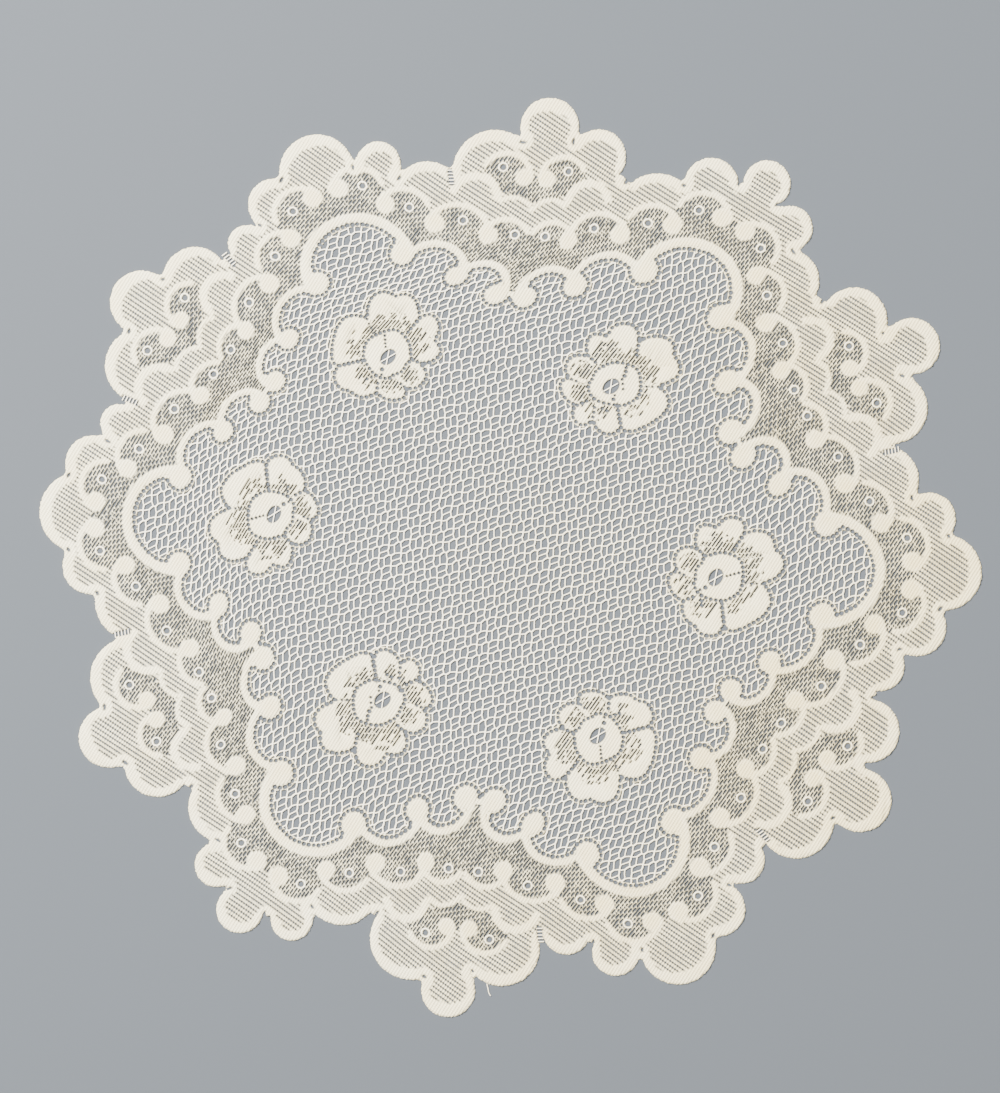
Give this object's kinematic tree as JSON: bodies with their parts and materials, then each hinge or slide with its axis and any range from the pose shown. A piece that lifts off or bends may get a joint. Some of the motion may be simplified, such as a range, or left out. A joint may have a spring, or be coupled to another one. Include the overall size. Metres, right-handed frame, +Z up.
{
  "type": "lace doily",
  "caption": "Round flat lace doily with an open net middle, a ring of roses, scrolls and a scalloped close-worked border.",
  "frame": {"origin": "under the middle of the pattern, on the underside that lies on the table", "axes": "+Z up out of the face, +X along the longest reach across two crowns, +Y along the shorter"},
  "size_m": [0.3961, 0.3862, 0.0017],
  "materials": {
    "lace": "matt ivory lace yarn"
  },
  "bodies": {
    "root": {"lace_sheet": "lace"}
  },
  "joints": []
}
